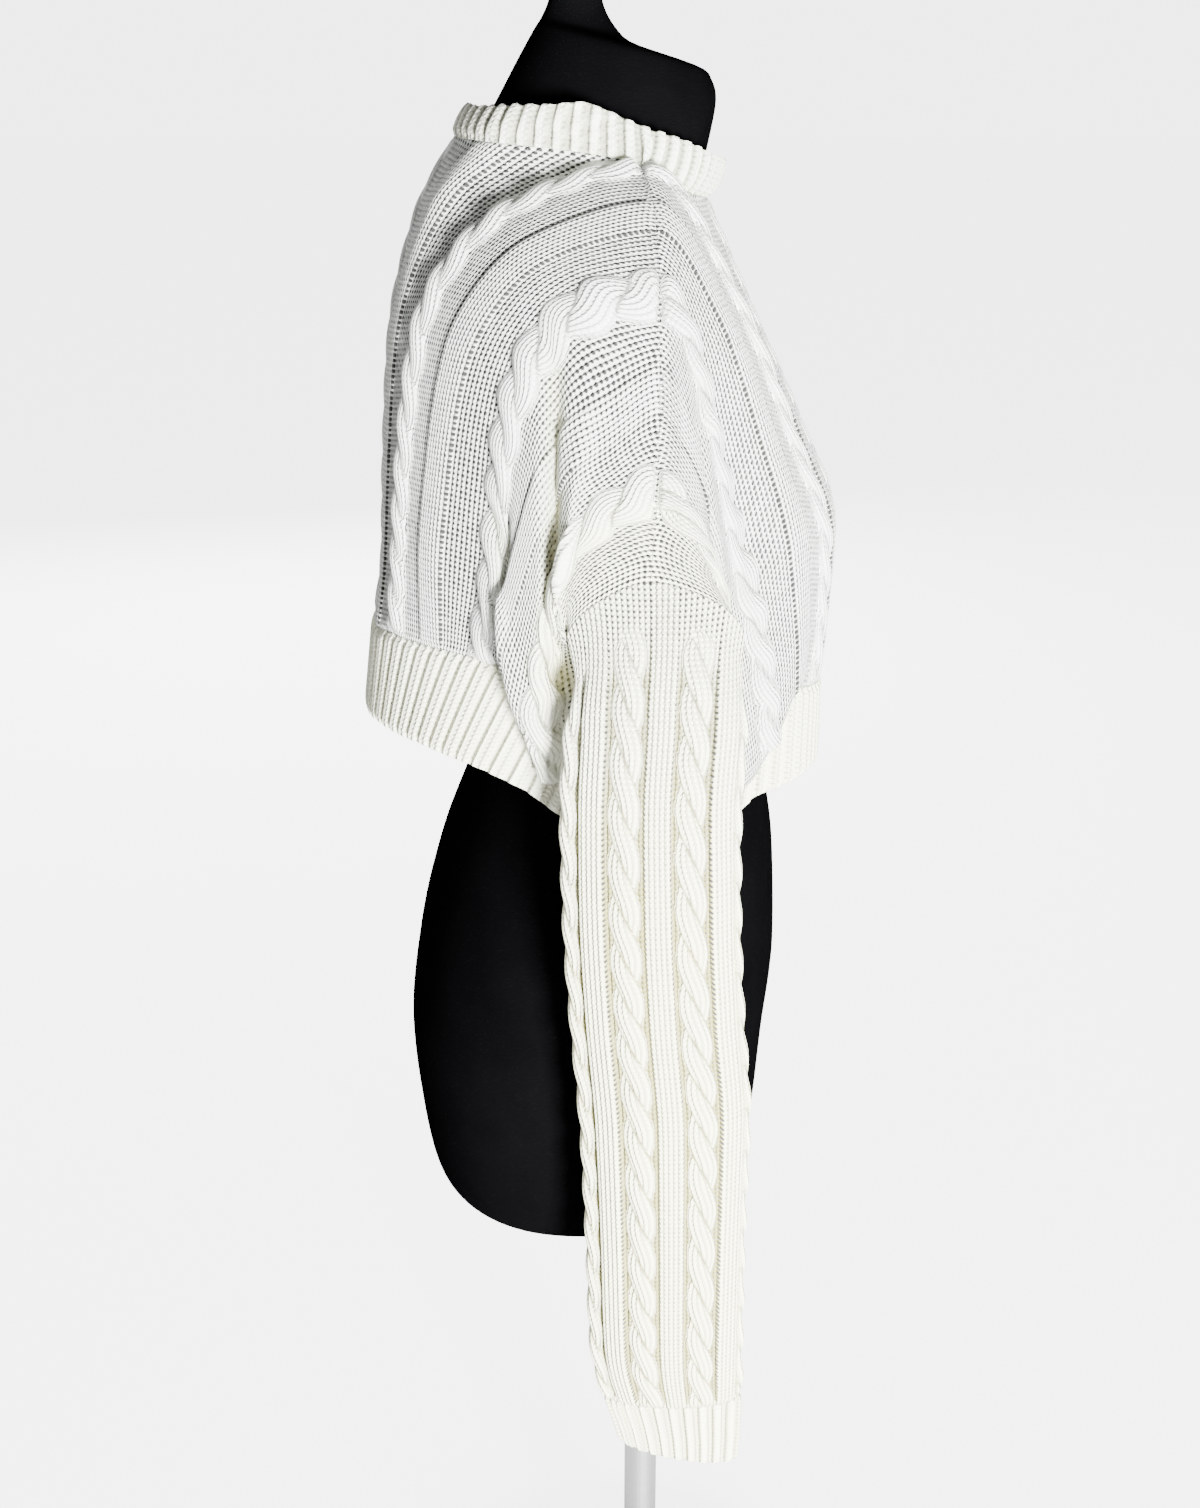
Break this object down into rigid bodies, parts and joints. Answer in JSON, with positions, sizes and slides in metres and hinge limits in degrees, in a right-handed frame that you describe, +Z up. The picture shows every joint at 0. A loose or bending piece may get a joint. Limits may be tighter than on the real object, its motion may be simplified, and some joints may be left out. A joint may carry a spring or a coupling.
{
  "type": "cropped cable knit sweater on limbless dress form",
  "caption": "Loose cropped pullover in cream cable knit with dropped shoulders, ribbed neckband, hem and cuffs, worn on a limbless dress form on a round foot.",
  "frame": {"origin": "centre of the round foot's underside, on the pole's axis, at floor level", "axes": "+Z up, the wearer's front towards -Y, the wearer's right towards -X"},
  "size_m": [0.41, 0.303, 1.151],
  "materials": {
    "knit": "cream cotton-blend yarn in cables, smooth bands and reverse stocking stitch, matt",
    "rib": "the same cream yarn in two by two rib, matt",
    "form_cover": "black stretch jersey drawn smooth over the form, matt",
    "stand_steel": "satin steel"
  },
  "bodies": {
    "root": {"back": "knit", "front": "knit", "sleeve_right": "knit", "sleeve_left": "knit", "hem_rib_back": "rib", "hem_rib_front": "rib", "cuff_right": "rib", "cuff_left": "rib", "neckband": "rib", "dress_form": "form_cover", "pole": "stand_steel", "foot": "stand_steel"}
  },
  "joints": []
}
